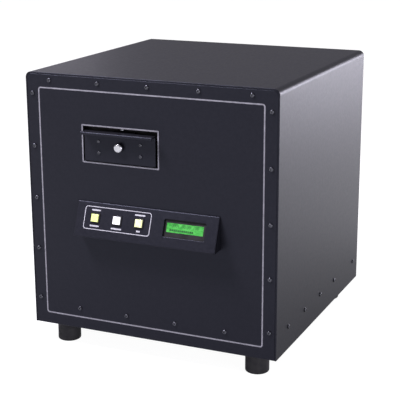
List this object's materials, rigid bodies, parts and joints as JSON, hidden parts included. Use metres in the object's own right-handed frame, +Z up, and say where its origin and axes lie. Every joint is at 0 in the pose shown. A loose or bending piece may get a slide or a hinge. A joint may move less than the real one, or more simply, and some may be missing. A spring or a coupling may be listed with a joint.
{
  "type": "hard drive degausser",
  "caption": "Bench hard drive degausser: black steel cabinet on round feet, with a pull-out drive drawer and a sloped console with lamp buttons and a small display.",
  "frame": {"origin": "on the floor under the middle of the whole object", "axes": "+Z up; -Y out of the front with the drawer; +X to the right as seen from the front"},
  "size_m": [0.4614, 0.4912, 0.488],
  "materials": {
    "powder_black": "satin",
    "zinc_steel": "satin",
    "black_screw": "satin",
    "foot_rubber": "matte",
    "polished_steel": "polished",
    "black_plastic": "satin",
    "lens_green": "satin",
    "lens_white": "satin",
    "display_green": "gloss",
    "circuit_board": "satin",
    "laminate": "matte",
    "slide_plastic": "satin",
    "copper": "satin",
    "brass": "satin",
    "aluminium": "satin",
    "core_steel": "matte"
  },
  "bodies": {
    "cabinet": {"base_pan": "powder_black", "board_standoffs": "zinc_steel", "bus_bars": "copper", "capacitor_1": "aluminium", "capacitor_2": "aluminium", "capacitor_3": "aluminium", "capacitor_4": "aluminium", "capacitor_seat": "laminate", "coil_clamp_front": "laminate", "coil_clamp_rear": "laminate", "coil_former": "laminate", "coil_shelf": "zinc_steel", "coil_tie_rods": "zinc_steel", "coil_winding": "copper", "console_housing": "powder_black", "console_screws": "black_screw", "control_board": "circuit_board", "display_board": "circuit_board", "display_cell": "display_green", "display_module": "black_plastic", "drawer_guide_left": "slide_plastic", "drawer_guide_right": "slide_plastic", "fan_frame": "black_plastic", "fan_guard": "zinc_steel", "fan_screws": "black_screw", "foot_bolts": "zinc_steel", "foot_front_left": "foot_rubber", "foot_front_right": "foot_rubber", "foot_rear_left": "foot_rubber", "foot_rear_right": "foot_rubber", "front_frame": "zinc_steel", "front_panel": "powder_black", "front_panel_screws": "black_screw", "guide_end_bracket": "zinc_steel", "heat_sink": "aluminium", "lock_solenoid": "zinc_steel", "mains_blades": "brass", "mains_inlet": "black_plastic", "power_button_body": "black_plastic", "rear_frame": "zinc_steel", "rear_panel": "powder_black", "rear_panel_screws": "black_screw", "side_panel_screws": "black_screw", "start_button_body": "black_plastic", "status_lamp_body": "black_plastic", "status_lamp_lens": "lens_white", "terminal_screws": "zinc_steel", "thyristor": "black_plastic", "transformer_core": "core_steel", "transformer_winding": "copper", "wrapper_cover": "powder_black"},
    "drawer": {"drawer_front": "powder_black", "drawer_tray": "slide_plastic", "drawer_knob": "polished_steel", "drawer_screws": "black_screw"},
    "start_button": {"start_button_cap": "lens_green"},
    "power_button": {"power_button_cap": "lens_green"},
    "fan": {"fan_rotor": "black_plastic"},
    "rocker": {"mains_rocker": "black_plastic"},
    "plunger": {"lock_plunger": "zinc_steel"}
  },
  "joints": [
    {"name": "drawer_slide", "type": "slide", "parent": "cabinet", "child": "drawer", "axis": [0, -1, 0], "range_m": [0, 0.163]},
    {"name": "start_button_press", "type": "slide", "parent": "cabinet", "child": "start_button", "axis": [0, 0.9329, -0.3601], "range_m": [0, 0.002], "stiffness_N_per_m": 400, "springref_m": -0.002},
    {"name": "power_button_press", "type": "slide", "parent": "cabinet", "child": "power_button", "axis": [0, 0.9329, -0.3601], "range_m": [0, 0.002], "stiffness_N_per_m": 400, "springref_m": -0.002},
    {"name": "fan_spin", "type": "hinge", "parent": "cabinet", "child": "fan", "pos_m": [0.095, 0.22178, 0.358], "axis": [0, 1, 0], "continuous": true},
    {"name": "rocker_tilt", "type": "hinge", "parent": "cabinet", "child": "rocker", "pos_m": [0.15, 0.23848, 0.1605], "axis": [1, 0, 0], "range_deg": [0, 20]},
    {"name": "plunger_drop", "type": "slide", "parent": "cabinet", "child": "plunger", "axis": [0, 0, -1], "range_m": [0, 0.008], "stiffness_N_per_m": 80, "springref_m": -0.006}
  ]
}
